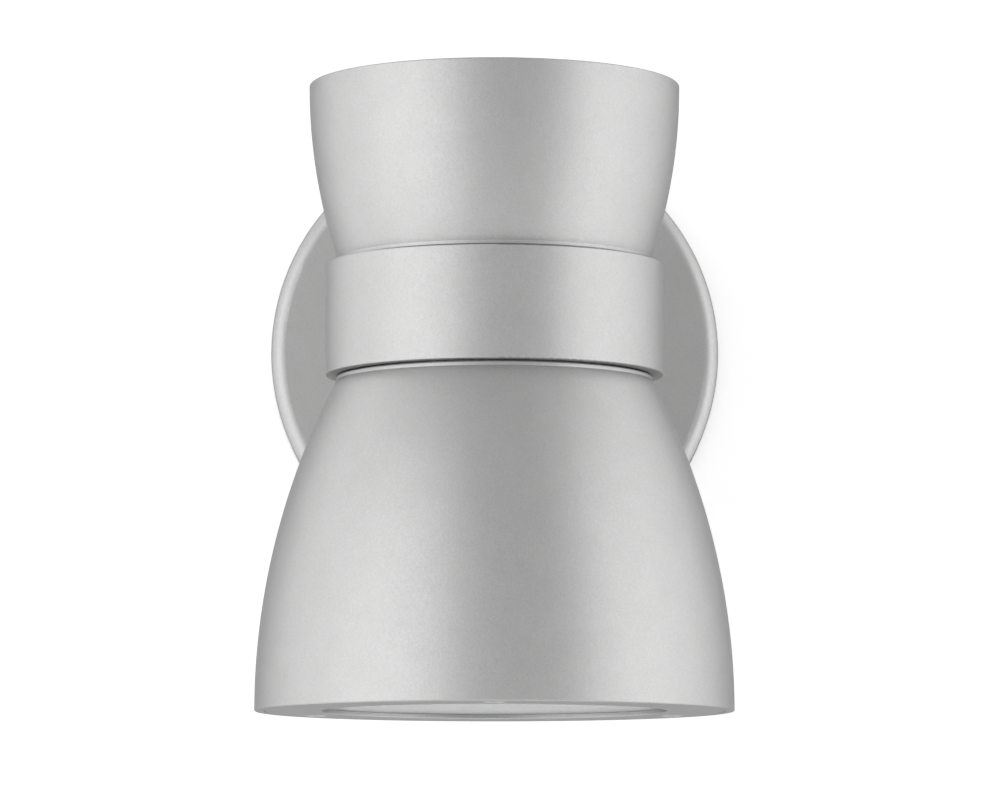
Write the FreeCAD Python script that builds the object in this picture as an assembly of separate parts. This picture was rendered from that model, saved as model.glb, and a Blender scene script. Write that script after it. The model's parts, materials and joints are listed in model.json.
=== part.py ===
import FreeCAD, Part
import math
import os
from collections import namedtuple

# Up-and-down wall sconce, in millimetres.
#
# A round backplate is held on an electrical box by a steel strap. A short arm carries a plain
# cylindrical band, and two flared shades leave the band: a short one that opens upwards and a
# tall one that opens downwards. Each shade is a closed lamp: a light source, a reflector and a
# glass lens under a screwed face ring. The driver and the terminals are inside the backplate.
#
# Frame: the wall is the plane y = 0 and the sconce stands out of it towards -Y. +Z is up, and
# +X is to the right for someone who faces the wall. The origin is the middle of the strap's
# two slots, at the wall.

V = FreeCAD.Vector

# ---- Body: the band and the two shades, which share one upright axis ----
neck_radius = 41.9            # outside of both shades where they meet the band
band_overhang = 3.6           # the band stands proud of the necks
upper_flare = 8.1             # growth in radius from neck to upper rim
lower_flare = 22.3            # growth in radius from neck to lower rim
upper_rise = 48.6             # top of the band to the upper rim
lower_drop = 90.2             # bottom of the band to the lower rim
shade_wall = 2.6
shade_floor = 4.0
collar_height = 1.1           # upright edge of each shade beside the band
shoulder_fillet = 0.3         # rounded corner of that edge
rim_fillet = 0.4
joint_reveal = 0.4            # open shadow line between a shade and the band
spigot_ledge = 1.56           # flat between that corner and the spigot, at least
spigot_engagement = 2.0       # how far it enters the band
spigot_clearance = 0.25
joint_gasket_thickness = 0.8
ledge_width = 3.0             # step inside the band that carries the joint gasket
band_edge_fillet = 0.3
web_thickness = 5.0           # floor across the middle of the band
web_window_width = 18.0
web_window_depth = 13.0
boss_radius = 4.2
boss_inset = 7.8              # bosses stand this far inside the band's bore
boss_turn = 30.0              # degrees: one boss in front and two behind, clear of the wires
shade_screw_length = 12.0
floor_wire_hole_radius = 4.0
wire_hole_margin = 1.0        # between that hole and the arm's pad, seen from above

# ---- Face ring, glass and reflector ----
upper_face_width = 14.0       # flat annulus between the rim's outside and the glass
lower_face_width = 18.0
lens_lip = 1.1                # the glass lies this far behind the face
lens_thickness = 4.0
lens_overlap = 3.8            # glass hidden behind the lip
lens_clearance = 0.4
lens_gasket_thickness = 1.0
lens_chamfer = 0.4
face_ring_clearance = 0.15
face_ring_edge = 0.3
seat_margin = 1.2             # the shade's ledge opens this much wider than the glass shows
seat_thickness = 3.5
seat_boss_radius = 3.2
seat_boss_height = 5.0
seat_boss_sink = 1.0          # the bosses' outer sides end this deep in the shade's wall
ring_screw_bite = 6.5
reflector_wall = 1.0
reflector_clearance = 0.3
reflector_bulge = 0.16        # how far the reflector bows out, as a share of its width

# ---- Light sources ----
chip_size = 13.5
chip_thickness = 1.5
phosphor_radius = 4.5
phosphor_thickness = 0.4
thermal_pad_thickness = 0.3
holder_radius = 17.0
holder_thickness = 4.2
holder_throat_radius = 6.0
holder_screw_offset = 11.5
holder_edge = 0.8
holder_notch_depth = 3.0
holder_screw_bite = 2.5
heat_sink_height = 30.0
heat_sink_core_radius = 14.5
heat_sink_clearance = 0.6     # between the fins and the bush beside them
heat_sink_fins = 20
heat_sink_fin_thickness = 1.6
heat_sink_screw_offset = 9.0
heat_sink_screw_bite = 6.0

# ---- Arm ----
arm_radius = 14.0
arm_wall = 8.0
arm_gasket_thickness = 0.8
arm_margin = 1.0              # band left above and below the arm
arm_screw_inset = 3.8         # from the arm's outside to its screws' axes
arm_cope_clearance = 0.05
arm_pad_thickness = 3.5       # flat inside the band, behind the arm's screws
arm_pad_margin = 1.5          # of the flat around the screws' heads
arm_key_room = 6.0            # free space behind those heads, for the key
arm_plate_screw_bite = 8.0    # how far screws go into what they hold
arm_body_screw_bite = 5.0

# ---- Backplate, which is a dish open to the wall ----
plate_radius = 63.5
plate_depth = 19.0
plate_wall = 2.5
plate_edge_radius = 4.1
rim_to_plate_gap = 12.8       # from the lower rim's back to the plate's face
wall_gasket_thickness = 2.0
wall_gasket_inset = 0.2

# ---- Strap and its studs ----
strap_thickness = 2.0
strap_width = 22.0
strap_end_margin = 3.0
box_screw_spacing_small = 69.9    # the two hole spacings of electrical boxes
box_screw_spacing_large = 88.9
box_slot_width = 4.8
stud_offset = 27.0
stud_radius = 2.0
stud_head_radius = 2.9
stud_head_thickness = 1.2
strap_wire_hole_radius = 5.5
ground_screw_offset = 15.0
ground_boss_radius = 4.0
ground_boss_height = 3.0
ground_screw_length = 4.5
cap_nut_flats = 7.0
cap_nut_hex_height = 3.2
cap_nut_height = 8.0
cap_nut_bore_depth = 5.6
cap_nut_spare = 0.6           # left above the stud inside the nut
cap_nut_dome_inset = 0.25
seal_washer_radius = 4.5
seal_washer_thickness = 1.5

# ---- Electrical pieces inside the backplate ----
driver_length = 58.0
driver_width = 26.0
driver_thickness = 12.5
driver_wall = 1.5
driver_resin_drop = 0.8
driver_ear = 6.5
driver_ear_sink = 1.0         # the ears overlap the case by this much
driver_ear_thickness = 2.0
driver_corner = 2.0
driver_ear_corner = 1.2
driver_screw_bite = 5.0
device_boss_radius = 3.0
terminal_length = 30.0
terminal_width = 17.0
terminal_thickness = 11.0
terminal_pitch = 9.0
terminal_poles = 3
terminal_bore_radius = 1.9
terminal_boss_height = 3.0
terminal_corner = 1.0
terminal_bore_share = 0.55    # height of the poles' bores in the block
clamp_wall = 0.6
clamp_recess = 1.5            # the brass tubes end this far inside the block
clamp_screw_radius = 1.2
clamp_head_radius = 1.7
clamp_head_height = 1.8
clamp_head_recess = 0.4
clamp_slot = (0.6, 0.7)       # width and depth of the slot in a clamp screw's head
lead_insertion = 6.0          # how far a lead goes into the terminal block
device_margin = 1.6           # devices stay this far off the dish's wall
earth_boss_height = 5.0
earth_boss_rim = 0.5          # the earth boss is this much wider than the others
earth_boss_shift = (7.5, 6.5) # from the terminal block's end and from the strap's edge
lug_thickness = 0.8
lug_radius = 3.4
lug_tongue = (2.5, 2.0)       # length and width of the crimped end
lead_radius = 0.8
lead_bend = 4.0
grommet_wall = 1.1
grommet_flange = 1.2
grommet_flange_thickness = 1.2

# ---- How the leads run from the driver. Heights and sides are seen from the front ----
light_lead_side = -5.0        # the four leads leave the driver on both sides of this place
light_pair_offset = 3.0       # the upper shade's pair to the right of it, the lower one's to the left
light_lead_pitch = 2.8        # between the two leads of a pair
light_layer_gap = 2.5         # the lower shade's pair lies this much closer to the wall
lead_drop = 7.0               # straight run out of the driver
lead_turn_share = 0.3185      # share of the height left below that run, over which the leads turn in
supply_lead_run = 14.84       # the supply leads leave the strap's side this far below the driver
lead_spacing = 0.5            # open space between the leads inside the arm
line_lead_side = 17.5
neutral_lead_side = 14.5
driver_input_shift = 3.0      # the supply leads end this much further out, at the driver

# ---- Screws and fits ----
m3_radius = 1.5
m4_radius = 2.0
thread_relief = 0.35          # a tapped hole and its screw are drawn at the core diameter
clearance_gap = 0.2           # radial clearance of a through hole
touch_gap = 0.05
tap_spare = 1.0               # a tapped hole goes this much deeper than its screw
over = 1.0                    # cutting shapes reach this far past the surface they cut

Screw = namedtuple("Screw", "radius head_radius head_height drive_radius")
M3 = Screw(m3_radius, 2.75, 2.0, 1.15)
M4 = Screw(m4_radius, 3.3, 2.8, 1.5)

# ---- Sizes that follow from those above ----
band_radius = neck_radius + band_overhang
band_half = arm_radius + arm_margin
spigot_radius = neck_radius - 0.8 * shoulder_fillet - spigot_ledge
counterbore_radius = spigot_radius + spigot_clearance
bore_radius = counterbore_radius - ledge_width
ledge_level = band_half - spigot_engagement - joint_gasket_thickness
shoulder_level = band_half + joint_reveal
boss_circle = bore_radius - boss_inset
ring_thickness = lens_lip + lens_thickness + lens_gasket_thickness
floor_bottom = -(joint_reveal + spigot_engagement)     # in a shade's own frame
floor_top = floor_bottom + shade_floor

plate_front = wall_gasket_thickness + plate_depth
plate_inside = plate_front - plate_wall
plate_bore = plate_radius - plate_wall
lower_rim_radius = neck_radius + lower_flare
body_reach = plate_front + rim_to_plate_gap + lower_rim_radius
arm_bore_radius = arm_radius - arm_wall
arm_screw_circle = arm_radius - arm_screw_inset
pad_level = bore_radius - arm_pad_thickness            # from the body's axis
wire_hole_offset = pad_level - floor_wire_hole_radius - wire_hole_margin
heat_sink_radius = wire_hole_offset - floor_wire_hole_radius - grommet_flange - heat_sink_clearance

box_slot_centre = (box_screw_spacing_small + box_screw_spacing_large) / 4
box_slot_length = (box_screw_spacing_large - box_screw_spacing_small) / 2 + box_slot_width
strap_end_radius = box_slot_centre + box_slot_length / 2 + strap_end_margin

driver_outer = math.sqrt((plate_bore - device_margin) ** 2 - (driver_length / 2) ** 2)
driver_level = driver_outer - driver_width / 2         # height of the driver's middle
driver_bottom = driver_outer - driver_width
terminal_outer = math.sqrt((plate_bore - 2 * device_margin) ** 2 - (terminal_length / 2) ** 2)
terminal_level = -(terminal_outer + strap_width / 2) / 2
lead_level = plate_inside - 8.5                        # leads run at this distance from the wall

Shade = namedtuple("Shade", "name side rim_radius height window_radius led_level")
UPPER = Shade("upper", 1, neck_radius + upper_flare, upper_rise - joint_reveal,
              neck_radius + upper_flare - upper_face_width, floor_top)
LOWER = Shade("lower", -1, lower_rim_radius, lower_drop - joint_reveal,
              lower_rim_radius - lower_face_width, floor_top + heat_sink_height)


# ---- Drawing helpers ----
class Outline:
    """A closed half-section: x is the radius and z the height. turned() spins it about Z."""

    def __init__(self, x, z):
        self.first = V(x, 0, z)
        self.at = self.first
        self.edges = []

    def line(self, x, z):
        end = V(x, 0, z)
        if end.distanceToPoint(self.at) > 1e-7:
            self.edges.append(Part.LineSegment(self.at, end).toShape())
        self.at = end
        return self

    def arc(self, middle, end):
        through = V(middle[0], 0, middle[1])
        target = V(end[0], 0, end[1])
        self.edges.append(Part.Arc(self.at, through, target).toShape())
        self.at = target
        return self

    def turned(self):
        self.line(self.first.x, self.first.z)
        face = Part.Face(Part.Wire(self.edges))
        return face.revolve(V(0, 0, 0), V(0, 0, 1), 360)


def rod(radius, low, high, x=0.0, y=0.0):
    """A cylinder along Z from low to high."""
    return Part.makeCylinder(radius, high - low, V(x, y, low))


def along_y(radius, start, end, x, z=0.0):
    """A cylinder along Y."""
    return Part.makeCylinder(radius, end - start, V(x, start, z), V(0, 1, 0))


def cone(low_radius, high_radius, low, high, x=0.0, y=0.0):
    return Part.makeCone(low_radius, high_radius, high - low, V(x, y, low))


def washer(inner, outer, low, high, x=0.0, y=0.0):
    return rod(outer, low, high, x, y).cut(rod(inner, low - 1, high + 1, x, y))


def block(x_low, x_high, y_low, y_high, z_low, z_high):
    return Part.makeBox(x_high - x_low, y_high - y_low, z_high - z_low, V(x_low, y_low, z_low))


def prism(sides, flats, low, high, x=0.0, y=0.0):
    """A regular prism of that width across its flats."""
    reach = flats / 2 / math.cos(math.pi / sides)
    corners = [V(x + reach * math.cos(2 * math.pi * (k + 0.5) / sides),
                 y + reach * math.sin(2 * math.pi * (k + 0.5) / sides), low)
               for k in range(sides + 1)]
    return Part.Face(Part.makePolygon(corners)).extrude(V(0, 0, high - low))


def flipped(solid, level):
    """Turns a piece over, such as a screw that was drawn pointing to -Z, about that level."""
    return solid.mirror(V(0, 0, level), V(0, 0, 1))


def upright_edges(shape):
    """The straight edges that run along Z."""
    return [e for e in shape.Edges
            if len(e.Vertexes) == 2
            and abs(e.Vertexes[0].X - e.Vertexes[1].X) < 1e-6
            and abs(e.Vertexes[0].Y - e.Vertexes[1].Y) < 1e-6]


def round_edges(shape, radius, height):
    """The circles of that radius about the Z axis at that height."""
    return [e for e in shape.Edges
            if isinstance(e.Curve, Part.Circle)
            and abs(e.Curve.Radius - radius) < 1e-4
            and abs(e.Curve.Center.z - height) < 1e-4
            and math.hypot(e.Curve.Center.x, e.Curve.Center.y) < 1e-4]


def on_circle(count, radius, start_degrees):
    """Points evenly spaced on a circle about the Z axis."""
    angles = [math.radians(start_degrees + 360 * k / count) for k in range(count)]
    return [(radius * math.cos(a), radius * math.sin(a)) for a in angles]


def joined(solids):
    """One solid out of several that touch or overlap."""
    return solids[0].multiFuse(solids[1:]).removeSplitter()


def pan_screw(screw, seat, length, x=0.0, y=0.0):
    """Points down -Z. Its head stands on the level seat, and has a hexagonal socket."""
    core = screw.radius - thread_relief
    shank = rod(core, seat - length, seat, x, y)
    head = rod(screw.head_radius, seat, seat + screw.head_height, x, y)
    top = [e for e in head.Edges if abs(e.CenterOfMass.z - seat - screw.head_height) < 1e-6]
    head = head.makeFillet(0.3 * screw.head_height, top)
    socket = prism(6, 2 * screw.drive_radius, seat + 0.4 * screw.head_height,
                   seat + screw.head_height + 1, x, y)
    return shank.fuse(head).cut(socket).removeSplitter()


def flat_screw(screw, face, length, x=0.0, y=0.0):
    """A countersunk screw that points down -Z, with its top at the level face."""
    core = screw.radius - thread_relief
    sink = screw.head_radius - core
    head = cone(core, screw.head_radius, face - sink, face, x, y)
    shank = rod(core, face - length, face - sink, x, y)
    socket = prism(6, 2 * screw.drive_radius, face - 0.7 * sink, face + 1, x, y)
    return head.fuse(shank).cut(socket).removeSplitter()


def sink_hole(screw, face, through, x, y):
    """The countersunk hole for flat_screw, from the level face down to the level through."""
    gap = clearance_gap
    core = screw.radius - thread_relief
    sink = screw.head_radius - core
    head = cone(core + gap, screw.head_radius + gap, face - sink, face, x, y)
    rim = rod(screw.head_radius + gap, face, face + 1, x, y)
    return head.fuse([rim, rod(core + gap, through, face, x, y)])


def tapped(screw, low, high, x, y):
    return rod(screw.radius - thread_relief + touch_gap, low, high, x, y)


def through_hole(screw, low, high, x, y):
    return rod(screw.radius + clearance_gap, low, high, x, y)


def lead(points, bend=lead_bend):
    """An insulated wire along straight runs that are joined by tangent arcs."""
    spots = [V(*p) for p in points]
    edges = []
    start = spots[0]
    for before, corner, after in zip(spots, spots[1:], spots[2:]):
        inward = (corner - before).normalize()
        outward = (after - corner).normalize()
        half_turn = inward.getAngle(outward) / 2
        shorter = min(before.distanceToPoint(corner), corner.distanceToPoint(after))
        radius = min(bend, 0.45 * shorter / math.tan(half_turn))
        cut = radius * math.tan(half_turn)
        across = (outward - inward).normalize()
        middle = corner + across * (radius / math.cos(half_turn) - radius)
        leave = corner - inward * cut
        join = corner + outward * cut
        edges.append(Part.LineSegment(start, leave).toShape())
        edges.append(Part.Arc(leave, middle, join).toShape())
        start = join
    edges.append(Part.LineSegment(start, spots[-1]).toShape())
    path = Part.Wire(edges)
    first = (spots[1] - spots[0]).normalize()
    section = Part.Wire(Part.makeCircle(lead_radius, spots[0], first))
    return path.makePipeShell([section], True, False)


# ---- The body's pieces are drawn about their own axis, rim upwards ----
def flare_arc_radius(shade):
    """One arc makes each shade's outline. It is upright at the rim and ends at the neck."""
    growth = shade.rim_radius - neck_radius
    return (shade.height ** 2 + growth ** 2) / (2 * growth)


def flare_radius(shade, level, inset=0.0):
    """Radius of the shade at a level above its shoulder, or of a surface inset from it."""
    arc = flare_arc_radius(shade)
    centre = shade.rim_radius - arc
    return centre + math.sqrt((arc - inset) ** 2 - (shade.height - level) ** 2)


def collar_radius(shade):
    """The upright edge beside the band is as wide as the flare where they meet."""
    return flare_radius(shade, collar_height)


def seat_level(shade):
    """Where the face ring and the lens gasket rest."""
    return shade.height - ring_thickness


def seat_radius(shade):
    return shade.window_radius + seat_margin


def pocket_radius(shade):
    return shade.window_radius + lens_overlap + lens_clearance


def ring_outer_radius(shade):
    return shade.rim_radius - shade_wall - face_ring_clearance


def ring_screw_spots(shade):
    return on_circle(3, (pocket_radius(shade) + ring_outer_radius(shade)) / 2, 30)


def boss_spots():
    return on_circle(3, boss_circle, boss_turn)


def flare_arc(shade, low, high, inset=0.0):
    """The middle and end points of the flare's arc between two levels."""
    middle = (low + high) / 2
    return ((flare_radius(shade, middle, inset), middle), (flare_radius(shade, high, inset), high))


def shade_shell(shade):
    seat = seat_level(shade)
    under = seat - seat_thickness
    inner_rim = shade.rim_radius - shade_wall
    section = Outline(0, floor_bottom)
    section.line(spigot_radius, floor_bottom)
    section.line(spigot_radius, 0)
    section.line(collar_radius(shade), 0)
    section.line(collar_radius(shade), collar_height)
    section.arc(*flare_arc(shade, collar_height, shade.height))
    section.line(inner_rim, shade.height)
    section.line(inner_rim, seat)
    section.line(seat_radius(shade), seat)
    section.line(seat_radius(shade), under)
    section.line(flare_radius(shade, under, shade_wall), under)
    section.arc(*flare_arc(shade, under, floor_top, shade_wall))
    section.line(0, floor_top)
    shell = section.turned()
    shell = shell.makeFillet(shoulder_fillet, round_edges(shell, collar_radius(shade), 0))
    shell = shell.makeFillet(rim_fillet, round_edges(shell, shade.rim_radius, shade.height))
    boss_bottom = under - seat_boss_height
    # the bosses end inside the wall, so that their outer sides merge with it
    envelope = Outline(0, boss_bottom)
    envelope.line(flare_radius(shade, boss_bottom, seat_boss_sink), boss_bottom)
    envelope.arc(*flare_arc(shade, boss_bottom, seat, seat_boss_sink))
    envelope.line(0, seat)
    inside = envelope.turned()
    bosses = [rod(seat_boss_radius, boss_bottom, seat - seat_thickness / 2, x, y).common(inside)
              for x, y in ring_screw_spots(shade)]
    shell = joined([shell] + bosses)
    tap_end = seat - ring_screw_bite - tap_spare
    holes = [tapped(M3, tap_end, seat + over, x, y) for x, y in ring_screw_spots(shade)]
    holes += [through_hole(M4, floor_bottom - over, floor_top + over, x, y) for x, y in boss_spots()]
    holes.append(rod(floor_wire_hole_radius, floor_bottom - over, floor_top + over, 0, wire_hole_offset))
    for side in (-1, 1):
        if shade is UPPER:
            tap_end = floor_top - holder_screw_bite - tap_spare / 2
            holes.append(tapped(M3, tap_end, floor_top + over, side * holder_screw_offset, 0))
        else:
            hole = sink_hole(M4, -floor_bottom, -floor_top - over, side * heat_sink_screw_offset, 0)
            holes.append(flipped(hole, 0))
    return shell.cut(holes)


def face_ring(shade):
    seat = seat_level(shade)
    lip = shade.height - lens_lip
    ring = Outline(shade.window_radius, shade.height)
    ring.line(ring_outer_radius(shade), shade.height)
    ring.line(ring_outer_radius(shade), seat)
    ring.line(pocket_radius(shade), seat)
    ring.line(pocket_radius(shade), lip)
    ring.line(shade.window_radius, lip)
    solid = ring.turned()
    edges = round_edges(solid, shade.window_radius, shade.height)
    edges += round_edges(solid, ring_outer_radius(shade), shade.height)
    solid = solid.makeFillet(face_ring_edge, edges)
    return solid.cut([sink_hole(M3, shade.height, seat - over, x, y)
                      for x, y in ring_screw_spots(shade)])


def face_ring_screws(shade):
    length = ring_thickness + ring_screw_bite
    return [flat_screw(M3, shade.height - touch_gap, length, x, y)
            for x, y in ring_screw_spots(shade)]


def lens(shade):
    radius = shade.window_radius + lens_overlap
    top = shade.height - lens_lip
    disc = rod(radius, top - lens_thickness, top)
    edges = round_edges(disc, radius, top) + round_edges(disc, radius, top - lens_thickness)
    return disc.makeChamfer(lens_chamfer, edges)


def lens_gasket(shade):
    seat = seat_level(shade)
    inner = seat_radius(shade) + 2 * touch_gap
    return washer(inner, pocket_radius(shade) - touch_gap, seat, seat + lens_gasket_thickness)


def holder_top(shade):
    return shade.led_level + holder_thickness


def reflector(shade):
    """A bowl from the holder's throat to just behind the glass."""
    low = holder_top(shade)
    high = shade.height - lens_lip - lens_thickness - reflector_clearance
    mouth = seat_radius(shade) - reflector_clearance - reflector_wall
    throat = holder_throat_radius
    bow = reflector_bulge * (mouth - throat)
    middle = ((mouth + throat) / 2 + bow, (low + high) / 2 - bow)
    bowl = Outline(throat, low)
    bowl.arc(middle, (mouth, high))
    bowl.line(mouth + reflector_wall, high)
    bowl.arc((middle[0] + reflector_wall, middle[1] - reflector_wall), (throat + reflector_wall, low))
    return bowl.turned()


def thermal_pad(shade):
    half = chip_size / 2
    return block(-half, half, -half, half, shade.led_level, shade.led_level + thermal_pad_thickness)


def led_chip(shade):
    half = chip_size / 2
    low = shade.led_level + thermal_pad_thickness
    return block(-half, half, -half, half, low, low + chip_thickness)


def led_phosphor(shade):
    low = shade.led_level + thermal_pad_thickness + chip_thickness
    dome = rod(phosphor_radius, low, low + phosphor_thickness)
    rim = round_edges(dome, phosphor_radius, low + phosphor_thickness)
    return dome.makeFillet(phosphor_thickness / 2, rim)


def lead_entry(shade):
    """Height at which the leads enter the holder."""
    return shade.led_level + 0.6 * holder_thickness


def led_holder(shade):
    """The moulded ring that clamps the chip, with a sloped throat and a notch for the wires."""
    low = shade.led_level
    top = holder_top(shade)
    pocket = chip_size / 2 + clearance_gap
    chip_top = low + thermal_pad_thickness + chip_thickness
    body = rod(holder_radius, low, top)
    body = body.makeFillet(holder_edge, round_edges(body, holder_radius, top))
    throat = cone(phosphor_radius + clearance_gap, holder_throat_radius, chip_top, top)
    cuts = [block(-pocket, pocket, -pocket, pocket, low - over, chip_top), throat]
    wire = 2 * lead_radius + clearance_gap
    notch = lead_entry(shade)
    cuts.append(block(-wire, wire, holder_radius - holder_notch_depth, holder_radius + over,
                      notch - wire / 2, notch + wire / 2))
    for side in (-1, 1):
        x = side * holder_screw_offset
        cuts.append(through_hole(M3, low - over, top + over, x, 0))
        cuts.append(rod(M3.head_radius + clearance_gap, top - M3.head_height, top + over, x, 0))
    return body.cut(cuts)


def holder_screws(shade):
    seat = holder_top(shade) - M3.head_height
    length = seat - shade.led_level + holder_screw_bite
    return [pan_screw(M3, seat, length, side * holder_screw_offset, 0) for side in (-1, 1)]


def heat_sink():
    """An extruded star: a round core with radial fins, which carries the lower light source."""
    low = floor_top
    high = floor_top + heat_sink_height
    half = heat_sink_fin_thickness / 2
    fin = block(heat_sink_core_radius - over, heat_sink_radius, -half, half, low, high)
    pieces = [rod(heat_sink_core_radius, low, high)]
    for k in range(heat_sink_fins):
        turned = fin.copy()
        turned.rotate(V(0, 0, 0), V(0, 0, 1), 360 * (k + 0.5) / heat_sink_fins)
        pieces.append(turned)
    star = joined(pieces)
    cuts = []
    for side in (-1, 1):
        tap_end = high - holder_screw_bite - tap_spare
        cuts.append(tapped(M3, tap_end, high + over, side * holder_screw_offset, 0))
        tap_end = low + heat_sink_screw_bite + tap_spare
        cuts.append(tapped(M4, low - over, tap_end, side * heat_sink_screw_offset, 0))
    return star.cut(cuts)


def heat_sink_screws():
    """They come from inside the band, through the lower shade's floor."""
    length = shade_floor + heat_sink_screw_bite
    return [flipped(flat_screw(M4, -floor_bottom - touch_gap, length, side * heat_sink_screw_offset, 0), 0)
            for side in (-1, 1)]


def shade_screws(shade):
    return [pan_screw(M4, floor_top, shade_screw_length, x, y) for x, y in boss_spots()]


def joint_gasket(shade):
    low = floor_bottom - joint_gasket_thickness
    return washer(bore_radius + touch_gap, spigot_radius, low, floor_bottom)


def floor_grommet(shade):
    """A rubber bush in the wire hole, with a flange on the floor."""
    hole = floor_wire_hole_radius
    wide = hole + grommet_flange
    bush = rod(hole - touch_gap, floor_bottom, floor_top, 0, wire_hole_offset)
    inner_flange = rod(wide, floor_top, floor_top + grommet_flange_thickness, 0, wire_hole_offset)
    top = floor_top + grommet_flange_thickness + over
    bore = rod(hole - grommet_wall, floor_bottom - over, top, 0, wire_hole_offset)
    return bush.fuse(inner_flange).cut(bore)


def placed(solids, shade):
    """Moves a shade's pieces from their own frame to their place above or below the band."""
    result = []
    for solid in solids if isinstance(solids, list) else [solids]:
        moved = solid.copy() if shade.side > 0 else flipped(solid, 0)
        moved.translate(V(0, -body_reach, shade.side * shoulder_level))
        result.append(moved)
    return result


def centre_housing():
    """The band with its web, bosses and the flat pad that the arm is screwed to."""
    band = Outline(bore_radius, -ledge_level)
    band.line(counterbore_radius, -ledge_level)
    band.line(counterbore_radius, -band_half)
    band.line(band_radius, -band_half)
    band.line(band_radius, band_half)
    band.line(counterbore_radius, band_half)
    band.line(counterbore_radius, ledge_level)
    band.line(bore_radius, ledge_level)
    ring = band.turned()
    edges = round_edges(ring, band_radius, band_half) + round_edges(ring, band_radius, -band_half)
    ring = ring.makeFillet(band_edge_fillet, edges)
    boss_end = -floor_bottom - joint_reveal
    boss_reach = band_half - boss_end
    half_web = web_thickness / 2
    pieces = [ring, rod(bore_radius + over, -half_web, half_web)]
    pieces += [rod(boss_radius, -boss_reach, boss_reach, x, y) for x, y in boss_spots()]
    pad_half = arm_screw_circle + M4.head_radius + arm_pad_margin
    pad = block(-pad_half, pad_half, pad_level, band_radius, -ledge_level, ledge_level)
    pieces.append(pad.common(rod(bore_radius + over, -ledge_level, ledge_level)))
    body = joined(pieces)
    half_window = web_window_width / 2
    cuts = [block(-half_window, half_window, pad_level - web_window_depth, pad_level,
                  -half_web - over, half_web + over)]
    tap_end = boss_reach - (shade_screw_length - shade_floor) - tap_spare
    for x, y in boss_spots():
        cuts.append(tapped(M4, tap_end, boss_reach + over, x, y))
        cuts.append(tapped(M4, -boss_reach - over, -tap_end, x, y))
    cuts.append(along_y(arm_bore_radius, pad_level - over, band_radius, 0))
    # room in the web for the heads of the arm's screws and for the key that turns them
    room = M4.head_height + arm_key_room
    for side in (-1, 1):
        x = side * arm_screw_circle
        cuts.append(along_y(M4.radius + clearance_gap, pad_level - over, band_radius, x))
        cuts.append(along_y(M4.head_radius + 2 * clearance_gap, pad_level - room, pad_level, x))
    body = body.cut(cuts)
    body.translate(V(0, -body_reach, 0))
    return body


# ---- The wall side's pieces are drawn lying down: z is the distance from the wall ----
def on_wall(solids):
    """Stands the wall side's pieces up, so that their z runs out of the wall and y is up."""
    result = []
    for solid in solids if isinstance(solids, list) else [solids]:
        moved = solid.copy()
        moved.rotate(V(0, 0, 0), V(1, 0, 0), 90)
        result.append(moved)
    return result


def stud_spots():
    return [(-stud_offset, 0), (stud_offset, 0)]


def arm_screw_spots():
    return on_circle(3, arm_screw_circle, 90)


def driver_screw_spots():
    reach = driver_length / 2 + driver_ear / 2
    return [(-reach, driver_level), (reach, driver_level)]


def terminal_screw_spots():
    return [(-terminal_pitch / 2, terminal_level), (terminal_pitch / 2, terminal_level)]


def earth_spot():
    """The backplate's earth boss, between the strap's edge and the terminal block."""
    aside, below = earth_boss_shift
    return (-terminal_length / 2 - aside, -strap_width / 2 - below)


def grommet_hole_radius():
    return arm_screw_circle - M4.head_radius - grommet_flange - 2 * clearance_gap


def driver_ear_level():
    return plate_inside - driver_thickness / 2


def backplate():
    dish = Outline(0, plate_front)
    dish.line(plate_radius, plate_front)
    dish.line(plate_radius, wall_gasket_thickness)
    dish.line(plate_bore, wall_gasket_thickness)
    dish.line(plate_bore, plate_inside)
    dish.line(0, plate_inside)
    shell = dish.turned()
    shell = shell.makeFillet(plate_edge_radius, round_edges(shell, plate_radius, plate_front))
    inner_edge = max(plate_edge_radius - plate_wall, touch_gap)
    shell = shell.makeFillet(inner_edge, round_edges(shell, plate_bore, plate_inside))
    ear_seat = driver_ear_level()
    block_seat = terminal_seat()
    earth_x, earth_y = earth_spot()
    earth_seat = plate_inside - earth_boss_height
    sunk = plate_inside + plate_wall / 4
    bosses = [rod(device_boss_radius, ear_seat, sunk, x, y) for x, y in driver_screw_spots()]
    bosses += [rod(device_boss_radius, block_seat, sunk, x, y) for x, y in terminal_screw_spots()]
    bosses.append(rod(device_boss_radius + earth_boss_rim, earth_seat, sunk, earth_x, earth_y))
    shell = joined([shell] + bosses)
    behind = plate_inside - over
    ahead = plate_front + over
    half_deep = plate_inside + plate_wall / 2
    cuts = [tapped(M3, ear_seat - over, plate_inside, x, y) for x, y in driver_screw_spots()]
    cuts += [tapped(M3, block_seat - over, half_deep, x, y) for x, y in terminal_screw_spots()]
    cuts.append(tapped(M4, earth_seat - over, plate_inside, earth_x, earth_y))
    cuts += [rod(stud_radius + clearance_gap, behind, ahead, x, y) for x, y in stud_spots()]
    cuts += [through_hole(M4, behind, ahead, x, y) for x, y in arm_screw_spots()]
    cuts.append(rod(grommet_hole_radius(), behind, ahead))
    return shell.cut(cuts)


def wall_gasket():
    outer = plate_radius - wall_gasket_inset
    return washer(plate_bore - wall_gasket_inset, outer, 0, wall_gasket_thickness)


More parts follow.
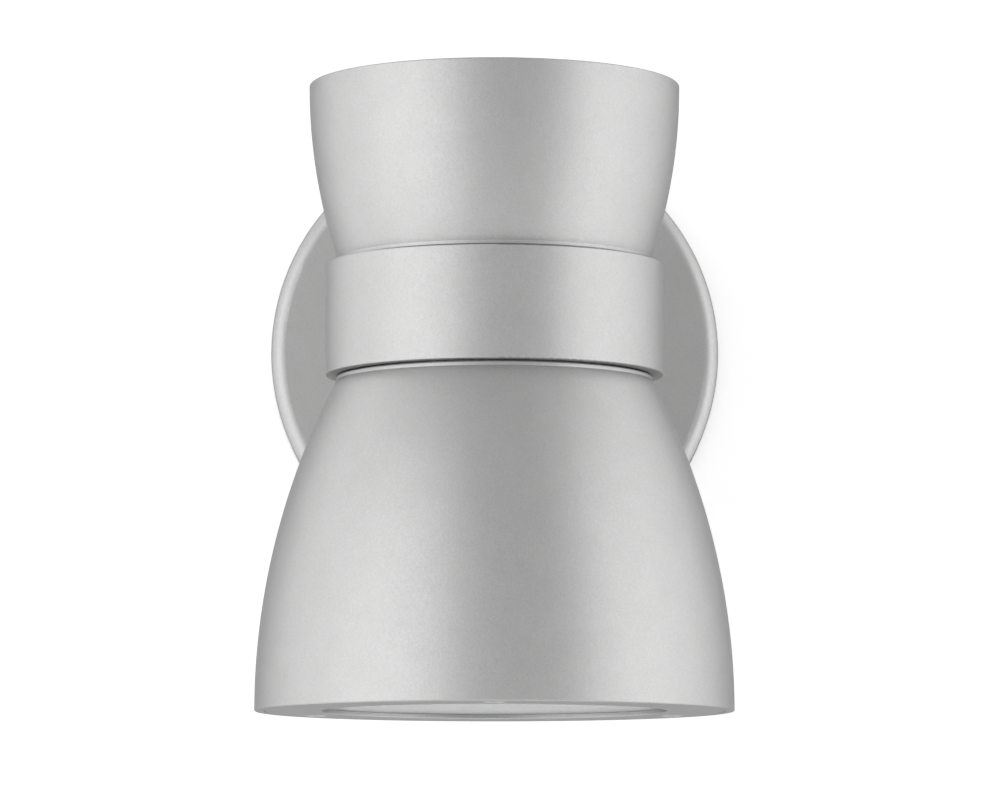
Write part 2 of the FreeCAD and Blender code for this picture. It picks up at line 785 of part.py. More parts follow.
def mounting_strap():
    bar = block(-2 * strap_end_radius, 2 * strap_end_radius, -strap_width / 2, strap_width / 2,
                0, strap_thickness).common(rod(strap_end_radius, 0, strap_thickness))
    ground_x = -ground_screw_offset
    bar = joined([bar, rod(ground_boss_radius, 0, strap_thickness + ground_boss_height, ground_x)])
    top = strap_thickness + over
    cuts = [rod(strap_wire_hole_radius, -over, top)]
    radius = box_slot_width / 2
    half_run = box_slot_length / 2 - radius
    for side in (-1, 1):
        centre = side * box_slot_centre
        cuts.append(block(centre - half_run, centre + half_run, -radius, radius, -over, top))
        cuts += [rod(radius, -over, top, centre + end * half_run) for end in (-1, 1)]
    for x, y in stud_spots():
        cuts.append(rod(stud_head_radius + touch_gap, -over, stud_head_thickness, x, y))
        cuts.append(rod(stud_radius + touch_gap, -over, top, x, y))
    cuts.append(tapped(M4, -over, top + ground_boss_height, ground_x, 0))
    return bar.cut(cuts)


def nut_seat():
    """The cap nuts bear here, on the seal washers in front of the plate."""
    return plate_front + seal_washer_thickness


def clinch_studs():
    """Flush-headed studs pressed into the strap from the wall side."""
    top = nut_seat() + cap_nut_bore_depth - cap_nut_spare
    studs = []
    for x, y in stud_spots():
        head = rod(stud_head_radius, 0, stud_head_thickness, x, y)
        studs.append(head.fuse(rod(stud_radius, 0, top, x, y)).removeSplitter())
    return studs


def cap_nuts():
    low = nut_seat()
    half_flats = cap_nut_flats / 2
    dome_radius = half_flats - cap_nut_dome_inset
    hex_top = low + cap_nut_hex_height
    column_top = low + cap_nut_height - dome_radius
    nuts = []
    for x, y in stud_spots():
        hexagon = prism(6, cap_nut_flats, low, hex_top)
        chamfered = hexagon.common(cone(half_flats + cap_nut_hex_height, half_flats, low, hex_top))
        dome = Outline(0, low)
        dome.line(dome_radius, low)
        dome.line(dome_radius, column_top)
        slant = dome_radius * math.sqrt(0.5)
        dome.arc((slant, column_top + slant), (0, low + cap_nut_height))
        nut = joined([chamfered, dome.turned()])
        nut = nut.cut(rod(stud_radius + touch_gap, low - over, low + cap_nut_bore_depth))
        nut.translate(V(x, y, 0))
        nuts.append(nut)
    return nuts


def nut_seal_washers():
    return [washer(stud_radius + touch_gap, seal_washer_radius, plate_front, nut_seat(), x, y)
            for x, y in stud_spots()]


def ground_screw():
    """Green screw in the strap, for the building's earth wire."""
    seat = strap_thickness + ground_boss_height
    return pan_screw(M4, seat, ground_screw_length, -ground_screw_offset, 0)


def arm():
    """A thick-walled neck from the plate to the band. Its front end is coped to the band."""
    start = plate_front + arm_gasket_thickness
    neck = rod(arm_radius, start, body_reach)
    band = along_y(band_radius + arm_cope_clearance, -2 * band_half, 2 * band_half, 0, body_reach)
    cuts = [band, rod(arm_bore_radius, start - over, body_reach)]
    tap_end = start + arm_plate_screw_bite + tap_spare
    cuts += [tapped(M4, start - over, tap_end, x, y) for x, y in arm_screw_spots()]
    tap_end = body_reach - band_radius - arm_body_screw_bite - tap_spare
    cuts += [tapped(M4, tap_end, body_reach, side * arm_screw_circle, 0) for side in (-1, 1)]
    return neck.cut(cuts)


def arm_gasket():
    low = plate_front
    high = low + arm_gasket_thickness
    ring = washer(arm_bore_radius + wall_gasket_inset, arm_radius - wall_gasket_inset, low, high)
    return ring.cut([through_hole(M4, low - over, high + over, x, y) for x, y in arm_screw_spots()])


def arm_plate_screws():
    """They come from inside the dish and clamp it to the arm."""
    length = plate_wall + arm_gasket_thickness + arm_plate_screw_bite
    return [flipped(pan_screw(M4, plate_inside, length, x, y), plate_inside)
            for x, y in arm_screw_spots()]


def arm_body_screws():
    """They come from inside the band and clamp it to the arm."""
    screws = []
    for side in (-1, 1):
        screw = pan_screw(M4, 0, band_radius - pad_level + arm_body_screw_bite)
        screw.rotate(V(0, 0, 0), V(1, 0, 0), 90)       # now it points to +Y
        screw.translate(V(side * arm_screw_circle, pad_level - body_reach, 0))
        screws.append(screw)
    return screws


def wire_grommet():
    hole = grommet_hole_radius()
    bush = rod(hole - touch_gap, plate_inside, plate_front)
    flange = rod(hole + grommet_flange, plate_inside - grommet_flange_thickness, plate_inside)
    low = plate_inside - grommet_flange_thickness - over
    return bush.fuse(flange).cut(rod(hole - grommet_wall, low, plate_front + over))


def driver_case():
    """A moulded tray that is open to the wall, with an ear at each end."""
    half = driver_length / 2
    low = plate_inside - driver_thickness
    top = plate_inside
    y_low = driver_level - driver_width / 2
    y_high = driver_level + driver_width / 2
    tray = block(-half, half, y_low, y_high, low, top)
    tray = tray.makeFillet(driver_corner, upright_edges(tray))
    inside = block(-half + driver_wall, half - driver_wall, y_low + driver_wall, y_high - driver_wall,
                   low - over, top - driver_wall)
    ears = []
    ear_top = driver_ear_level()
    width = driver_ear / 2 + driver_ear_sink
    for x, y in driver_screw_spots():
        ear = block(x - width, x + width, y - width, y + width, ear_top - driver_ear_thickness, ear_top)
        ears.append(ear.makeFillet(driver_ear_corner, upright_edges(ear)))
    case = joined([tray] + ears).cut(inside)
    return case.cut([through_hole(M3, low, top, x, y) for x, y in driver_screw_spots()])


def driver_potting():
    """The resin that fills the tray and holds its circuit."""
    half = driver_length / 2 - driver_wall
    y_half = driver_width / 2 - driver_wall
    low = plate_inside - driver_thickness + driver_resin_drop
    return block(-half, half, driver_level - y_half, driver_level + y_half, low, plate_inside - driver_wall)


def driver_screws():
    seat = driver_ear_level() - driver_ear_thickness
    return [flipped(pan_screw(M3, seat, driver_ear_thickness + driver_screw_bite, x, y), seat)
            for x, y in driver_screw_spots()]


def pole_offsets():
    return [(k - (terminal_poles - 1) / 2) * terminal_pitch for k in range(terminal_poles)]


def terminal_seat():
    return plate_inside - terminal_boss_height


def clamp_level():
    return terminal_seat() - terminal_bore_share * terminal_thickness


def terminal_block():
    half = terminal_length / 2
    top = terminal_seat()
    low = top - terminal_thickness
    y_low = terminal_level - terminal_width / 2
    y_high = terminal_level + terminal_width / 2
    body = block(-half, half, y_low, y_high, low, top)
    body = body.makeFillet(terminal_corner, upright_edges(body))
    cuts = []
    for x in pole_offsets():
        cuts.append(along_y(terminal_bore_radius, y_low - over, y_high + over, x, clamp_level()))
        for y in clamp_screw_rows():
            cuts.append(rod(clamp_head_radius + clearance_gap, low - over, clamp_level(), x, y))
    for x, y in terminal_screw_spots():
        cuts.append(through_hole(M3, low - over, top + over, x, y))
        cuts.append(rod(M3.head_radius + clearance_gap, low - over, terminal_screw_seat(), x, y))
    return body.cut(cuts)


def terminal_screw_seat():
    return terminal_seat() - terminal_thickness + M3.head_height + clamp_head_recess


def clamp_screw_rows():
    return [terminal_level - terminal_width / 4, terminal_level + terminal_width / 4]


def terminal_clamps():
    """Brass tubes in the block, one for each pole."""
    clamps = []
    outer = terminal_bore_radius - touch_gap
    level = clamp_level()
    start = terminal_level - terminal_width / 2 + clamp_recess
    end = terminal_level + terminal_width / 2 - clamp_recess
    for x in pole_offsets():
        tube = along_y(outer, start, end, x, level)
        bore = along_y(outer - clamp_wall, start - over, end + over, x, level)
        taps = [rod(clamp_screw_radius + touch_gap, level - outer - over, level, x, y)
                for y in clamp_screw_rows()]
        clamps.append(tube.cut([bore] + taps))
    return clamps


def terminal_clamp_screws():
    """Slotted screws that press the leads. Their heads are sunk in the block."""
    screws = []
    low = terminal_seat() - terminal_thickness + clamp_head_recess
    seat = low + clamp_head_height
    slot_width, slot_depth = clamp_slot
    for x in pole_offsets():
        for y in clamp_screw_rows():
            head = rod(clamp_head_radius, low, seat, x, y)
            shank = rod(clamp_screw_radius, seat, clamp_level() - lead_radius - touch_gap, x, y)
            slot = block(x - 2 * clamp_head_radius, x + 2 * clamp_head_radius,
                         y - slot_width / 2, y + slot_width / 2, low - over, low + slot_depth)
            screws.append(head.fuse(shank).cut(slot).removeSplitter())
    return screws


def terminal_block_screws():
    seat = terminal_screw_seat()
    length = terminal_seat() - seat + terminal_boss_height
    return [flipped(pan_screw(M3, seat, length, x, y), seat) for x, y in terminal_screw_spots()]


def earth_screw():
    x, y = earth_spot()
    seat = plate_inside - earth_boss_height - lug_thickness
    return flipped(pan_screw(M4, seat, earth_boss_height + lug_thickness - tap_spare / 2, x, y), seat)


def earth_lug():
    """The ring that is crimped to the earth lead and held by the earth screw."""
    x, y = earth_spot()
    top = plate_inside - earth_boss_height
    low = top - lug_thickness
    length, width = lug_tongue
    ring = rod(lug_radius, low, top, x, y)
    tongue = block(x, x + lug_radius + length, y - width / 2, y + width / 2, low, top)
    return joined([ring, tongue]).cut(through_hole(M4, low - over, top + over, x, y))


# ---- Leads. Each is given as points in the wall side's frame ----
def earth_lead():
    x, y = earth_spot()
    level = plate_inside - earth_boss_height - lug_thickness - lead_radius
    start = x + lug_radius + lead_radius
    exit_y = terminal_level + terminal_width / 2
    pole_x = pole_offsets()[0]
    turn_y = (exit_y + 5 * y) / 6
    return lead([(start, y, level), ((start + pole_x) / 2, y, level),
                 (pole_x, turn_y, clamp_level()), (pole_x, exit_y - lead_insertion, clamp_level())])


def supply_lead(pole, side):
    """From the terminal block, past the middle of the dish, to the driver's lower side."""
    pole_x = pole_offsets()[pole]
    exit_y = terminal_level + terminal_width / 2
    turn_y = exit_y - (exit_y + strap_width / 2) / 3
    driver_x = side + driver_input_shift * side / line_lead_side
    level = clamp_level()
    return lead([(pole_x, exit_y - lead_insertion, level), (pole_x, turn_y, level),
                 (side, -strap_width / 4, lead_level),
                 (side, driver_bottom - supply_lead_run, lead_level),
                 (driver_x, driver_bottom - 0.7 * lead_drop, lead_level),
                 (driver_x, driver_bottom, lead_level)])


def light_lead(shade, column):
    """From the driver, through the arm's bore, to one light source."""
    x = column * (lead_radius + lead_spacing / 2)
    height = shade.side * (lead_radius + lead_spacing / 2)
    start_x = light_lead_side + light_pair_offset * shade.side + column * light_lead_pitch / 2
    level = lead_level if shade.side > 0 else lead_level - light_layer_gap
    into = body_reach - wire_hole_offset
    # the leads pass in front of the strap and turn into the arm one above the other
    turn_in = lead_turn_share * (driver_bottom - lead_drop)
    rise = turn_in / 2
    wall_side = [(start_x, driver_bottom, level), (start_x, driver_bottom - lead_drop, level),
                 (x, height + turn_in, level), (x, height, level + rise)]
    end_level = shoulder_level + lead_entry(shade)
    end_reach = body_reach - holder_radius + holder_notch_depth - clearance_gap
    body_side = [(x, height, into), (x, shade.side * end_level, into),
                 (x, shade.side * end_level, end_reach)]
    return lead(wall_side + body_side)


def export(name, solids):
    """Writes one node. Several solids in one file are identical pieces, such as screws."""
    solids = solids if isinstance(solids, list) else [solids]
    flat = [s for shape in solids for s in shape.Solids]
    for solid in flat:
        assert solid.isValid() and solid.Volume > 0, name
    shape = flat[0] if len(flat) == 1 else Part.makeCompound(flat)
    shape.exportStep(os.path.join("parts", name + ".step"))
    print(f"{name}: {len(flat)} solid(s), {sum(s.Volume for s in flat):.0f} mm3")


def build():
    os.makedirs("parts", exist_ok=True)
    export("wall_gasket", on_wall(wall_gasket()))
    export("mounting_strap", on_wall(mounting_strap()))
    export("clinch_studs", on_wall(clinch_studs()))
    export("cap_nuts", on_wall(cap_nuts()))
    export("nut_seal_washers", on_wall(nut_seal_washers()))
    export("ground_screw", on_wall(ground_screw()))
    export("backplate", on_wall(backplate()))
    export("wire_grommet", on_wall(wire_grommet()))
    export("arm", on_wall(arm()))
    export("arm_gasket", on_wall(arm_gasket()))
    export("arm_plate_screws", on_wall(arm_plate_screws()))
    export("arm_body_screws", arm_body_screws())
    export("driver_case", on_wall(driver_case()))
    export("driver_potting", on_wall(driver_potting()))
    export("driver_screws", on_wall(driver_screws()))
    export("terminal_block", on_wall(terminal_block()))
    export("terminal_clamps", on_wall(terminal_clamps()))
    export("terminal_clamp_screws", on_wall(terminal_clamp_screws()))
    export("terminal_block_screws", on_wall(terminal_block_screws()))
    export("earth_screw", on_wall(earth_screw()))
    export("earth_lug", on_wall(earth_lug()))
    export("earth_lead", on_wall(earth_lead()))
    export("supply_lead_line", on_wall(supply_lead(2, line_lead_side)))
    export("supply_lead_neutral", on_wall(supply_lead(1, neutral_lead_side)))
    export("centre_housing", centre_housing())
    makers = {"shade": shade_shell, "face_ring": face_ring, "face_ring_screws": face_ring_screws,
              "lens": lens, "lens_gasket": lens_gasket, "reflector": reflector,
              "thermal_pad": thermal_pad, "led_chip": led_chip, "led_phosphor": led_phosphor,
              "led_holder": led_holder, "holder_screws": holder_screws,
              "shade_screws": shade_screws, "joint_gasket": joint_gasket,
              "floor_grommet": floor_grommet}
    for shade in (UPPER, LOWER):
        for name, make in makers.items():
            export(f"{shade.name}_{name}", placed(make(shade), shade))
        for sign, column in (("positive", -1), ("negative", 1)):
            export(f"{shade.name}_lead_{sign}", on_wall(light_lead(shade, column)))
    export("heat_sink", placed(heat_sink(), LOWER))
    export("heat_sink_screws", placed(heat_sink_screws(), LOWER))


build()
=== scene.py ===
"""Looks of an up-and-down wall sconce with a satin silver finish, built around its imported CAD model."""

import json
import math

import bpy
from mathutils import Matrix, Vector

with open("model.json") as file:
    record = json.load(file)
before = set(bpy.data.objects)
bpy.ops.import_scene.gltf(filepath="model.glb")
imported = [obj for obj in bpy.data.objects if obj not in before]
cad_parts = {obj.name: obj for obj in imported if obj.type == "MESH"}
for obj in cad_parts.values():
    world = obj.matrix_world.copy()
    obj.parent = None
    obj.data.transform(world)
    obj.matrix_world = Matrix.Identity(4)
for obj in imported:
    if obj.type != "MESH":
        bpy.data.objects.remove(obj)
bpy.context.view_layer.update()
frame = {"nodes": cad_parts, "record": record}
nodes = frame["nodes"]

MM = 0.001

# ---- Where things are, in metres ----
AXIS_Y = -98.0 * MM            # the body's upright axis
WALL_Y = 0.2 * MM              # the wall, just behind the gasket
FLOOR_Z = -0.62
BACKDROP_REACH = 12.0          # how far the wall and floor go sideways, upwards and to the front

# ---- Light ----
WALL_GLOW = 0.47
FLOOR_GLOW = 0.18
WORLD_STRENGTH = 0.48

# ---- Camera, as fitted to the photograph ----
LENS_PX = 5420.0               # focal length in pixels of the photograph
FRAME_WIDTH_PX = 1000.0
SENSOR_WIDTH_MM = 36.0
CAMERA_PLACE = (1.5 * MM, -1.548, -0.168)
CAMERA_PITCH = 5.77            # degrees upwards from level
LEVEL = 90.0                   # degrees that turn a camera from straight down to level

STRIPE_EDGE = 0.35             # a lead is striped where its face points this far to the wall


# ---- Node helpers ----
class Finish:
    """One material's node tree, built around a Principled shader."""

    def __init__(self, name, colour, roughness, metallic=0.0):
        self.material = bpy.data.materials.new(name)
        self.material.use_nodes = True
        self.tree = self.material.node_tree
        self.tree.nodes.clear()
        self.out = self.add("ShaderNodeOutputMaterial")
        self.shader = self.add("ShaderNodeBsdfPrincipled")
        self.link(self.shader.outputs["BSDF"], self.out.inputs["Surface"])
        self.shader.inputs["Base Color"].default_value = (*colour, 1)
        self.shader.inputs["Roughness"].default_value = roughness
        self.shader.inputs["Metallic"].default_value = metallic
        self.material.diffuse_color = (*colour, 1)
        self.colour = colour
        self.place = self.add("ShaderNodeTexCoord").outputs["Object"]

    def add(self, kind, **settings):
        node = self.tree.nodes.new(kind)
        for key, value in settings.items():
            setattr(node, key, value)
        return node

    def link(self, source, target):
        self.tree.links.new(source, target)

    def put(self, value, socket):
        """Links an output, or sets a plain value."""
        if isinstance(value, bpy.types.NodeSocket):
            self.link(value, socket)
        else:
            socket.default_value = value

    def maths(self, operation, a, b):
        node = self.add("ShaderNodeMath", operation=operation)
        self.put(a, node.inputs[0])
        self.put(b, node.inputs[1])
        return node.outputs[0]

    def vector(self, operation, a, b):
        node = self.add("ShaderNodeVectorMath", operation=operation)
        self.put(a, node.inputs[0])
        self.put(b, node.inputs[1])
        return node.outputs["Vector"]

    def noise(self, size, detail=2.0, roughness=0.5, stretch=(1, 1, 1)):
        """Noise whose features are about size metres across, longer along an axis with a small stretch."""
        node = self.add("ShaderNodeTexNoise")
        node.inputs["Scale"].default_value = 1 / size
        node.inputs["Detail"].default_value = detail
        node.inputs["Roughness"].default_value = roughness
        source = self.place
        if stretch != (1, 1, 1):
            source = self.vector("MULTIPLY", source, stretch)
        self.link(source, node.inputs["Vector"])
        return node.outputs["Fac"]

    def cells(self, size, output="Distance"):
        """Cells about size metres across: the distance from each cell's middle, or a colour for each cell."""
        node = self.add("ShaderNodeTexVoronoi")
        node.inputs["Scale"].default_value = 1 / size
        self.link(self.place, node.inputs["Vector"])
        return node.outputs[output]

    def spread(self, value, low, high, from_low=0.3, from_high=0.7):
        """Maps from_low to from_high, which is where most noise lies, to the range from low to high."""
        node = self.add("ShaderNodeMapRange")
        self.link(value, node.inputs["Value"])
        node.inputs["From Min"].default_value = from_low
        node.inputs["From Max"].default_value = from_high
        node.inputs["To Min"].default_value = low
        node.inputs["To Max"].default_value = high
        return node.outputs["Result"]

    def tint(self, *factors):
        """Base colour times each of these factors."""
        factor = factors[0]
        for other in factors[1:]:
            factor = self.maths("MULTIPLY", factor, other)
        node = self.add("ShaderNodeVectorMath", operation="SCALE")
        node.inputs[0].default_value = self.colour
        self.link(factor, node.inputs["Scale"])
        self.link(node.outputs["Vector"], self.shader.inputs["Base Color"])

    def mix(self, factor, first, second):
        """Base colour between two colours."""
        node = self.add("ShaderNodeMix", data_type="RGBA")
        self.link(factor, node.inputs["Factor"])
        node.inputs["A"].default_value = (*first, 1)
        node.inputs["B"].default_value = (*second, 1)
        mixed = [socket for socket in node.outputs if socket.type == "RGBA"]
        self.link(mixed[0], self.shader.inputs["Base Color"])

    def rough(self, value):
        self.link(value, self.shader.inputs["Roughness"])

    def bump(self, height, depth):
        """Relief: height runs from 0 to 1 and stands for depth metres."""
        node = self.add("ShaderNodeBump")
        node.inputs["Strength"].default_value = 1.0
        node.inputs["Distance"].default_value = depth
        self.link(height, node.inputs["Height"])
        self.link(node.outputs["Normal"], self.shader.inputs["Normal"])

    def radius_from(self, x, y):
        """Distance from an upright axis."""
        shifted = self.vector("SUBTRACT", self.place, (x, y, 0))
        flat = self.vector("MULTIPLY", shifted, (1, 1, 0))
        node = self.add("ShaderNodeVectorMath", operation="LENGTH")
        self.link(flat, node.inputs[0])
        return node.outputs["Value"]

    def along(self, value, size, detail):
        """Noise that depends on one value only, such as the radius of a turned piece."""
        node = self.add("ShaderNodeTexNoise", noise_dimensions="1D")
        node.inputs["Scale"].default_value = 1 / size
        node.inputs["Detail"].default_value = detail
        self.link(value, node.inputs["W"])
        return node.outputs["Fac"]


# ---- Finishes ----
def silver_paint():
    """Fine-textured paint: a rough metal with flakes that differ a little, darker towards the silhouette."""
    f = Finish("silver_paint", (0.60, 0.60, 0.598), 0.46, metallic=1.0)
    f.shader.inputs["Specular Tint"].default_value = (0.12, 0.12, 0.12, 1)
    grain = f.noise(0.42 * MM, detail=3.0, roughness=0.6)
    flakes = f.cells(0.30 * MM, output="Color")
    split = f.add("ShaderNodeSeparateColor")
    f.link(flakes, split.inputs["Color"])
    cloud = f.noise(9 * MM)
    f.tint(f.spread(grain, 0.95, 1.05),
           f.spread(split.outputs["Red"], 0.975, 1.025, from_low=0, from_high=1),
           f.spread(cloud, 0.985, 1.015))
    f.rough(f.spread(f.noise(0.8 * MM), 0.42, 0.50))
    f.bump(f.noise(0.55 * MM, roughness=0.55), 0.025 * MM)
    return f


def lens_glass():
    """Glass with an etched, satin face."""
    f = Finish("lens_glass", (0.84, 0.86, 0.85), 0.34)
    f.shader.inputs["Transmission Weight"].default_value = 1.0
    f.shader.inputs["IOR"].default_value = 1.5
    etched = f.noise(0.35 * MM, detail=3.0, roughness=0.6)
    f.rough(f.spread(etched, 0.29, 0.39))
    f.bump(etched, 0.012 * MM)
    return f


def reflector_metal():
    """Spun metal, with fine rings around the body's axis."""
    f = Finish("reflector_metal", (0.74, 0.74, 0.75), 0.26, metallic=1.0)
    rings = f.along(f.radius_from(0, AXIS_Y), 0.35 * MM, detail=3.0)
    f.tint(f.spread(rings, 0.97, 1.02))
    f.rough(f.spread(rings, 0.22, 0.32))
    f.bump(rings, 0.004 * MM)
    return f


def bare_aluminium():
    """Extruded metal, with fine lines along Z."""
    f = Finish("bare_aluminium", (0.60, 0.61, 0.62), 0.36, metallic=1.0)
    drawn = f.noise(0.25 * MM, detail=3.0, stretch=(1, 1, 0.03))
    f.tint(f.spread(drawn, 0.92, 1.06))
    f.rough(f.spread(drawn, 0.28, 0.44))
    f.bump(drawn, 0.012 * MM)
    return f


def zinc_steel():
    """Zinc plating that goes from bluish to yellowish in clouds, over rolling lines along X."""
    f = Finish("zinc_steel", (0.62, 0.64, 0.67), 0.33, metallic=1.0)
    mottle = f.noise(5 * MM, detail=4.0, roughness=0.65)
    rolled = f.noise(0.3 * MM, stretch=(0.06, 1, 1))
    f.mix(f.spread(mottle, 0, 1), (0.60, 0.63, 0.67), (0.68, 0.66, 0.60))
    f.rough(f.spread(rolled, 0.24, 0.42))
    f.bump(rolled, 0.008 * MM)
    return f


def stainless():
    f = Finish("stainless", (0.56, 0.55, 0.53), 0.28, metallic=1.0)
    marks = f.noise(0.15 * MM, detail=3.0, stretch=(1, 1, 0.3))
    f.tint(f.spread(marks, 0.93, 1.05))
    f.rough(f.spread(marks, 0.2, 0.38))
    f.bump(marks, 0.006 * MM)
    return f


def bright_nut():
    f = Finish("bright_nut", (0.78, 0.77, 0.75), 0.14, metallic=1.0)
    hairlines = f.noise(0.2 * MM, detail=4.0, stretch=(1, 0.15, 1))
    f.tint(f.spread(hairlines, 0.97, 1.02))
    f.rough(f.spread(hairlines, 0.09, 0.2))
    f.bump(hairlines, 0.003 * MM)
    return f


def ground_green():
    f = Finish("ground_green", (0.04, 0.30, 0.10), 0.35, metallic=0.8)
    dye = f.noise(0.8 * MM, detail=3.0)
    f.mix(f.spread(dye, 0, 1), (0.03, 0.26, 0.08), (0.07, 0.36, 0.14))
    f.rough(f.spread(dye, 0.28, 0.44))
    return f


def rubber(name, colour, pore):
    f = Finish(name, colour, 0.8)
    f.shader.inputs["Specular IOR Level"].default_value = 0.35
    skin = f.noise(pore, detail=3.0, roughness=0.6)
    bloom = f.noise(7 * MM, detail=3.0)
    f.tint(f.spread(skin, 0.8, 1.2), f.spread(bloom, 0.85, 1.25))
    f.rough(f.spread(skin, 0.72, 0.9))
    f.bump(skin, 0.05 * MM)
    return f


def chip_ceramic():
    f = Finish("chip_ceramic", (0.84, 0.84, 0.82), 0.4)
    speck = f.noise(0.2 * MM)
    f.tint(f.spread(speck, 0.96, 1.02))
    f.rough(f.spread(speck, 0.34, 0.48))
    f.bump(speck, 0.004 * MM)
    return f


def phosphor():
    """Yellow silicone, lighter over the middle of each emitter under it."""
    f = Finish("phosphor", (0.85, 0.60, 0.07), 0.35)
    f.shader.inputs["Coat Weight"].default_value = 0.5
    f.shader.inputs["Coat Roughness"].default_value = 0.12
    dies = f.cells(0.75 * MM)
    f.mix(f.spread(dies, 0, 1, from_low=0.05, from_high=0.4), (0.94, 0.70, 0.05), (0.84, 0.52, 0.02))
    f.bump(f.noise(1.2 * MM), 0.03 * MM)
    return f


def moulding(name, colour, gloss, eroded=0.25 * MM):
    """Moulded plastic. eroded is the size of its surface texture."""
    f = Finish(name, colour, gloss)
    texture = f.noise(eroded, roughness=0.6)
    flow = f.noise(6 * MM)
    f.tint(f.spread(texture, 0.97, 1.02), f.spread(flow, 0.97, 1.02))
    f.rough(f.spread(texture, gloss - 0.06, gloss + 0.08))
    f.bump(texture, 0.02 * MM)
    return f


def potting_resin():
    f = Finish("potting_resin", (0.035, 0.035, 0.038), 0.25)
    swell = f.noise(8 * MM)
    f.tint(f.spread(f.noise(2 * MM, detail=3.0), 0.8, 1.3))
    f.rough(f.spread(swell, 0.16, 0.34))
    f.bump(swell, 0.25 * MM)
    return f


def plain_metal(name, colour, gloss):
    f = Finish(name, colour, gloss, metallic=1.0)
    marks = f.noise(0.2 * MM, detail=3.0, stretch=(0.3, 1, 1))
    tarnish = f.noise(3 * MM, detail=3.0)
    f.tint(f.spread(marks, 0.94, 1.04), f.spread(tarnish, 0.88, 1.04))
    f.rough(f.spread(marks, gloss - 0.06, gloss + 0.1))
    f.bump(marks, 0.006 * MM)
    return f


def insulation(name, colour, stripe=None):
    """A lead's plastic skin, with a stripe on the side that faces the wall where a stripe colour is given."""
    f = Finish(name, colour, 0.34)
    skin = f.noise(0.5 * MM)
    if stripe:
        normal = f.add("ShaderNodeNewGeometry").outputs["Normal"]
        axes = f.add("ShaderNodeSeparateXYZ")
        f.link(normal, axes.inputs[0])
        f.mix(f.maths("GREATER_THAN", axes.outputs["Y"], STRIPE_EDGE), colour, stripe)
    else:
        f.tint(f.spread(skin, 0.92, 1.08))
    f.rough(f.spread(skin, 0.28, 0.42))
    f.bump(skin, 0.01 * MM)
    return f


finishes = {
    "silver_paint": silver_paint(),
    "lens_glass": lens_glass(),
    "reflector_metal": reflector_metal(),
    "bare_aluminium": bare_aluminium(),
    "zinc_steel": zinc_steel(),
    "stainless": stainless(),
    "bright_nut": bright_nut(),
    "ground_green": ground_green(),
    "gasket_rubber": rubber("gasket_rubber", (0.035, 0.035, 0.036), 0.45 * MM),
    "grommet_rubber": rubber("grommet_rubber", (0.05, 0.05, 0.05), 0.3 * MM),
    "thermal_pad_grey": rubber("thermal_pad_grey", (0.42, 0.44, 0.47), 0.3 * MM),
    "chip_ceramic": chip_ceramic(),
    "phosphor": phosphor(),
    "white_moulding": moulding("white_moulding", (0.80, 0.80, 0.77), 0.42),
    "driver_moulding": moulding("driver_moulding", (0.76, 0.76, 0.74), 0.46, 0.35 * MM),
    "potting_resin": potting_resin(),
    "terminal_moulding": moulding("terminal_moulding", (0.79, 0.77, 0.70), 0.38),
    "brass_clamp": plain_metal("brass_clamp", (0.78, 0.58, 0.26), 0.27),
    "tinned_copper": plain_metal("tinned_copper", (0.70, 0.68, 0.64), 0.32),
    "wire_red": insulation("wire_red", (0.52, 0.025, 0.02)),
    "wire_black": insulation("wire_black", (0.02, 0.02, 0.022)),
    "wire_white": insulation("wire_white", (0.78, 0.78, 0.75)),
    "wire_green_yellow": insulation("wire_green_yellow", (0.06, 0.34, 0.06), (0.80, 0.62, 0.05)),
}

for part in frame["record"]["subparts"]:
    node = nodes[part["node"]]
    material = finishes[part["material_slot"]].material
    for place in node.material_slots:
        place.material = material


# ---- Stage ----
def backdrop_material(name, colour, glow):
    """A pale surface that takes light and shadow, and is clear from behind.

    Rays from the camera, from gloss and through glass also see it glow. The glow lights nothing diffusely.
    """
    material = bpy.data.materials.new(name)
    material.use_nodes = True
    tree = material.node_tree
    tree.nodes.clear()
    add = tree.nodes.new
    link = tree.links.new

    def clamped_sum(a, b):
        node = add("ShaderNodeMath")
        node.operation = "ADD"
        node.use_clamp = True
        link(a, node.inputs[0])
        link(b, node.inputs[1])
        return node.outputs[0]

    def choose(factor, at_zero, at_one):
        node = add("ShaderNodeMixShader")
        link(factor, node.inputs[0])
        link(at_zero, node.inputs[1])
        link(at_one, node.inputs[2])
        return node.outputs[0]

    def emission(strength):
        node = add("ShaderNodeEmission")
        node.inputs["Strength"].default_value = strength
        return node.outputs[0]

    diffuse = add("ShaderNodeBsdfDiffuse")
    diffuse.inputs["Color"].default_value = (*colour, 1)
    ray = add("ShaderNodeLightPath").outputs
    mirrored_or_through = clamped_sum(ray["Is Glossy Ray"], ray["Is Transmission Ray"])
    seen = clamped_sum(ray["Is Camera Ray"], mirrored_or_through)
    both = add("ShaderNodeAddShader")
    link(diffuse.outputs[0], both.inputs[0])
    link(choose(seen, emission(0.0), emission(glow)), both.inputs[1])
    behind = add("ShaderNodeNewGeometry").outputs["Backfacing"]
    clear = add("ShaderNodeBsdfTransparent").outputs[0]
    out = add("ShaderNodeOutputMaterial")
    link(choose(behind, both.outputs[0], clear), out.inputs["Surface"])
    return material


def sheet(name, corners, material):
    mesh = bpy.data.meshes.new(name)
    mesh.from_pydata(corners, [], [tuple(range(len(corners)))])
    mesh.materials.append(material)
    piece = bpy.data.objects.new(name, mesh)
    bpy.context.scene.collection.objects.link(piece)


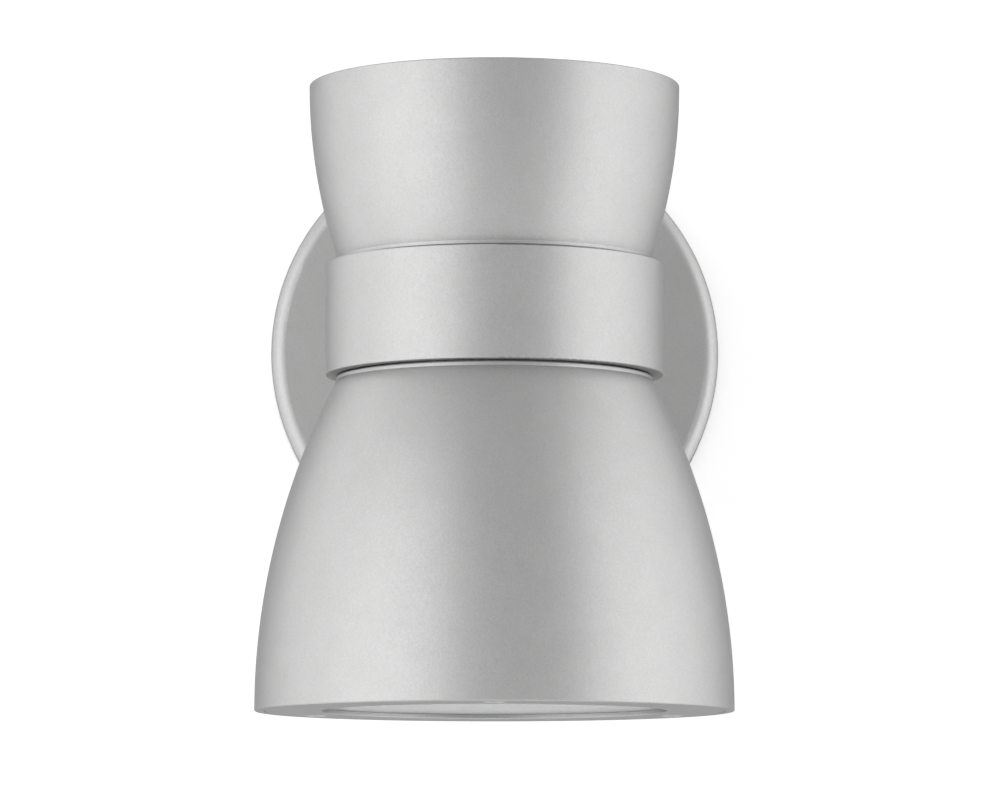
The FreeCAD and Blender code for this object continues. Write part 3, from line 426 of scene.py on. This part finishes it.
# Each sheet's corners go round so that its front faces the room.
left, right = -BACKDROP_REACH, BACKDROP_REACH
front = WALL_Y - BACKDROP_REACH
sheet("wall",
      [(left, WALL_Y, FLOOR_Z), (right, WALL_Y, FLOOR_Z),
       (right, WALL_Y, BACKDROP_REACH), (left, WALL_Y, BACKDROP_REACH)],
      backdrop_material("wall_white", (0.94, 0.94, 0.94), WALL_GLOW))
sheet("floor",
      [(left, front, FLOOR_Z), (right, front, FLOOR_Z), (right, WALL_Y, FLOOR_Z), (left, WALL_Y, FLOOR_Z)],
      backdrop_material("floor_pale", (0.80, 0.80, 0.80), FLOOR_GLOW))

world = bpy.data.worlds.new("studio")
bpy.context.scene.world = world
world.use_nodes = True
background = world.node_tree.nodes["Background"]
background.inputs["Color"].default_value = (1, 1, 1, 1)
background.inputs["Strength"].default_value = WORLD_STRENGTH


def softbox(name, azimuth, elevation, distance, width, height, watts):
    """An area light that faces the body. Azimuth 0 is in front and 90 to the right, in degrees."""
    data = bpy.data.lights.new(name, "AREA")
    data.shape = "RECTANGLE"
    data.size = width
    data.size_y = height
    data.energy = watts
    lamp = bpy.data.objects.new(name, data)
    bpy.context.scene.collection.objects.link(lamp)
    a, e = math.radians(azimuth), math.radians(elevation)
    target = Vector((0, AXIS_Y, 0))
    toward = Vector((math.sin(a) * math.cos(e), -math.cos(a) * math.cos(e), math.sin(e)))
    lamp.location = target + toward * distance
    lamp.rotation_euler = toward.to_track_quat("Z", "Y").to_euler()


# Both are tall, so that their highlights keep one place over the whole height of the body.
softbox("soft_left", azimuth=-54, elevation=-3, distance=1.3, width=1.6, height=2.4, watts=10.9)
softbox("soft_right", azimuth=68, elevation=-4, distance=1.2, width=1.0, height=2.2, watts=5.9)

camera_data = bpy.data.cameras.new("photo_camera")
camera_data.sensor_width = SENSOR_WIDTH_MM
camera_data.lens = LENS_PX / FRAME_WIDTH_PX * SENSOR_WIDTH_MM
camera_data.clip_start = 0.01
camera_data.clip_end = 20.0
camera = bpy.data.objects.new("photo_camera", camera_data)
bpy.context.scene.collection.objects.link(camera)
camera.location = CAMERA_PLACE
camera.rotation_euler = (math.radians(LEVEL + CAMERA_PITCH), 0, 0)
bpy.context.scene.camera = camera

bpy.context.scene.view_settings.view_transform = "Standard"
